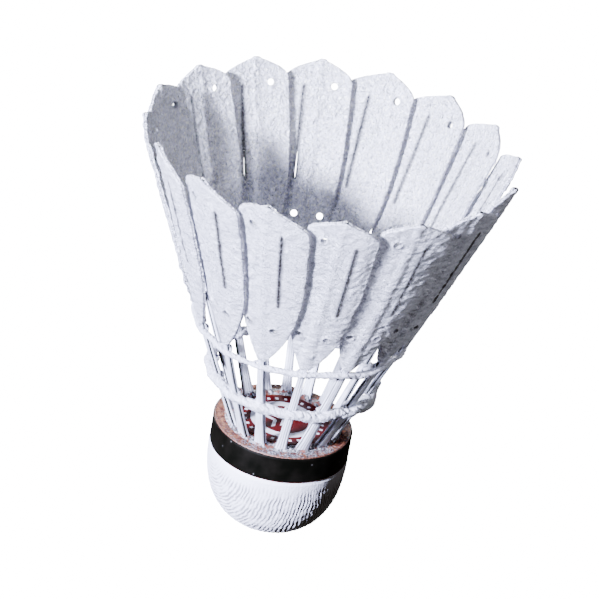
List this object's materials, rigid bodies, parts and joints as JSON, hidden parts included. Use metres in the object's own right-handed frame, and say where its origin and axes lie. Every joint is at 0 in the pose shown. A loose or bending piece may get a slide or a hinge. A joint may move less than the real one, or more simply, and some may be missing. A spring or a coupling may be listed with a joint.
{
  "type": "badminton shuttlecock",
  "caption": "Badminton shuttlecock: leather-covered cork base with a dark rim band, and a flared skirt of laminated stalks, foam vanes and two glued binding threads.",
  "frame": {"origin": "tip of the nose, on the shuttle's axis", "axes": "+Z along the shuttle's axis from the nose to the mouth of the skirt; -Y through the foremost feather's tip"},
  "size_m": [0.0676, 0.0676, 0.0812],
  "materials": {
    "stalk": "white laminate over a black core, semi-gloss",
    "foam": "crinkled white foam with a fine sparkle",
    "thread": "twisted white cotton stiffened with glue",
    "leather": "white, finely wrinkled",
    "cork": "natural cork, matt",
    "pressed_cork": "pressed cork granules, matt",
    "band": "black tape, satin",
    "label": "dark red printed paper",
    "glue": "dried clear glue over cork"
  },
  "bodies": {
    "root": {"stalk_01": "stalk", "stalk_02": "stalk", "stalk_03": "stalk", "stalk_04": "stalk", "stalk_05": "stalk", "stalk_06": "stalk", "stalk_07": "stalk", "stalk_08": "stalk", "stalk_09": "stalk", "stalk_10": "stalk", "stalk_11": "stalk", "stalk_12": "stalk", "stalk_13": "stalk", "stalk_14": "stalk", "stalk_15": "stalk", "stalk_16": "stalk", "outer_vane_01": "foam", "outer_vane_02": "foam", "outer_vane_03": "foam", "outer_vane_04": "foam", "outer_vane_05": "foam", "outer_vane_06": "foam", "outer_vane_07": "foam", "outer_vane_08": "foam", "outer_vane_09": "foam", "outer_vane_10": "foam", "outer_vane_11": "foam", "outer_vane_12": "foam", "outer_vane_13": "foam", "outer_vane_14": "foam", "outer_vane_15": "foam", "outer_vane_16": "foam", "inner_vane_01": "foam", "inner_vane_02": "foam", "inner_vane_03": "foam", "inner_vane_04": "foam", "inner_vane_05": "foam", "inner_vane_06": "foam", "inner_vane_07": "foam", "inner_vane_08": "foam", "inner_vane_09": "foam", "inner_vane_10": "foam", "inner_vane_11": "foam", "inner_vane_12": "foam", "inner_vane_13": "foam", "inner_vane_14": "foam", "inner_vane_15": "foam", "inner_vane_16": "foam", "upper_thread": "thread", "lower_thread": "thread", "leather_cover": "leather", "cork_nose": "cork", "cork_collar": "pressed_cork", "rim_band": "band", "label_disc": "label", "foot_glue": "glue"}
  },
  "joints": []
}
